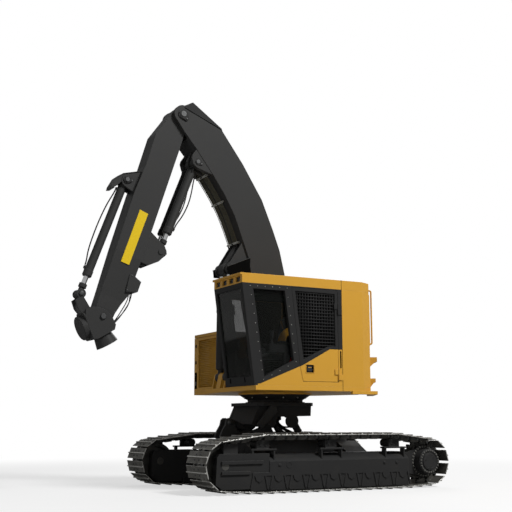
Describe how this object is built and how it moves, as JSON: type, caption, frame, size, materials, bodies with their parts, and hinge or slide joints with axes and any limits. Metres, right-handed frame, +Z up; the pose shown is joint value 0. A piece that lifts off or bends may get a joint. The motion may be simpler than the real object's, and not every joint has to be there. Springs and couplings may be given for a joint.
{
  "type": "tracked forestry harvester carrier",
  "caption": "Tracked forestry harvester: levelling undercarriage on steel tracks, slewing house with side cab and engine bay, high boom and stick with a tilting wrist.",
  "frame": {"origin": "on the ground, under the middle of the machine's own bounding box", "axes": "+X forward, out of the cab's front; +Y to the driver's left, the cab's side; +Z up"},
  "size_m": [6.213, 3.21, 6.564],
  "materials": {
    "paint_yellow": "gloss",
    "paint_charcoal": "satin",
    "paint_black": "satin",
    "track_steel": "worn",
    "frame_grey": "satin",
    "pin_steel": "satin",
    "chrome_rod": "polished",
    "cab_glass": "polished",
    "lamp": "polished",
    "chair_fabric": "matte",
    "console_plastic": "matte",
    "engine_iron": "satin"
  },
  "bodies": {
    "undercarriage": {"track_left": "track_steel", "track_right": "track_steel", "track_frame_left": "frame_grey", "track_frame_right": "frame_grey", "idlers": "track_steel", "sprockets": "track_steel", "final_drives": "frame_grey", "track_rollers": "frame_grey", "carrier_rollers": "frame_grey", "car_body": "frame_grey", "levelling_yoke": "frame_grey", "turntable_frame": "frame_grey", "slewing_ring": "frame_grey"},
    "house": {"slewing_race": "frame_grey", "deck": "paint_yellow", "deck_pins": "pin_steel", "cab_shell": "paint_yellow", "side_window_frame": "paint_black", "front_window_frame": "paint_black", "front_glass": "cab_glass", "side_glass": "cab_glass", "cab_roof": "paint_yellow", "work_lights": "lamp", "operator_chair": "chair_fabric", "control_consoles": "console_plastic", "rear_body": "paint_yellow", "counterweight": "paint_yellow", "hydraulic_tank": "paint_black", "engine_housing": "paint_yellow", "engine_grille": "paint_black", "engine_block": "engine_iron", "steps": "paint_yellow", "handrail": "paint_yellow"},
    "door": {"side_door": "paint_yellow", "door_guard": "paint_black", "door_mesh": "paint_black"},
    "hood": {"engine_hood": "paint_yellow"},
    "boom": {"boom": "paint_charcoal", "boom_pins": "pin_steel"},
    "stick": {"stick": "paint_charcoal", "stick_pins": "pin_steel"},
    "wrist": {"wrist_bracket": "paint_charcoal", "wrist_drum": "paint_charcoal", "wrist_skirt": "paint_charcoal", "wrist_pins": "pin_steel"},
    "hoist_barrel": {"hoist_barrels": "paint_charcoal"},
    "hoist_rod": {"hoist_rods": "chrome_rod"},
    "crowd_barrel": {"crowd_barrels": "paint_charcoal"},
    "crowd_rod": {"crowd_rods": "chrome_rod"},
    "tilt_barrel": {"tilt_barrels": "paint_charcoal"},
    "tilt_rod": {"tilt_rods": "chrome_rod"}
  },
  "joints": [
    {"name": "swing", "type": "hinge", "parent": "undercarriage", "child": "house", "pos_m": [-0.588, 0, 1.47], "axis": [0, 0, 1], "continuous": true},
    {"name": "boom_lift", "type": "hinge", "parent": "house", "child": "boom", "pos_m": [-0.438, 0, 2.15], "axis": [0, 1, 0], "range_deg": [-6, 30]},
    {"name": "stick_swing", "type": "hinge", "parent": "boom", "child": "stick", "pos_m": [1.358, 0, 6.321], "axis": [0, -1, 0], "range_deg": [-5, 70]},
    {"name": "wrist_tilt", "type": "hinge", "parent": "stick", "child": "wrist", "pos_m": [2.682, 0, 2.761], "axis": [0, 1, 0], "range_deg": [-5, 70]},
    {"name": "cab_door", "type": "hinge", "parent": "house", "child": "door", "pos_m": [-0.941, 1.507, 2.4], "axis": [0, 0, 1], "range_deg": [0, 105]},
    {"name": "engine_hood_hinge", "type": "hinge", "parent": "house", "child": "hood", "pos_m": [-1.44, -0.97, 2.705], "axis": [0, -1, 0], "range_deg": [0, 62]},
    {"name": "hoist_pivot", "type": "hinge", "parent": "house", "child": "hoist_barrel", "pos_m": [0.412, 0, 1.85], "axis": [0, 1, 0], "range_deg": [-6.01, 28.04]},
    {"name": "hoist_stroke", "type": "slide", "parent": "hoist_barrel", "child": "hoist_rod", "axis": [-0.016, 0, 0.9999], "range_m": [-0.4557, 0.0943]},
    {"name": "crowd_pivot", "type": "hinge", "parent": "boom", "child": "crowd_barrel", "pos_m": [1.065, 0, 5.514], "axis": [0, 1, 0], "range_deg": [-77.78, 6.02]},
    {"name": "crowd_stroke", "type": "slide", "parent": "crowd_barrel", "child": "crowd_rod", "axis": [0.3639, 0, -0.9314], "range_m": [-0.0678, 0.8968]},
    {"name": "tilt_pivot", "type": "hinge", "parent": "stick", "child": "tilt_barrel", "pos_m": [2.297, 0, 5.077], "axis": [0, 1, 0], "range_deg": [-0.55, 1.16]},
    {"name": "tilt_stroke", "type": "slide", "parent": "tilt_barrel", "child": "tilt_rod", "axis": [0.349, 0, -0.9371], "range_m": [-0.0456, 0.5861]}
  ],
  "couplings": [
    {"joint": "hoist_pivot", "follows": "boom_lift", "ratio": 0.9179},
    {"joint": "hoist_stroke", "follows": "boom_lift", "m_per_rad": -0.86265},
    {"joint": "crowd_pivot", "follows": "stick_swing", "ratio": -1.104},
    {"joint": "crowd_stroke", "follows": "stick_swing", "m_per_rad": 0.73075},
    {"joint": "tilt_pivot", "follows": "wrist_tilt", "ratio": 0.00938},
    {"joint": "tilt_stroke", "follows": "wrist_tilt", "m_per_rad": 0.47649}
  ]
}
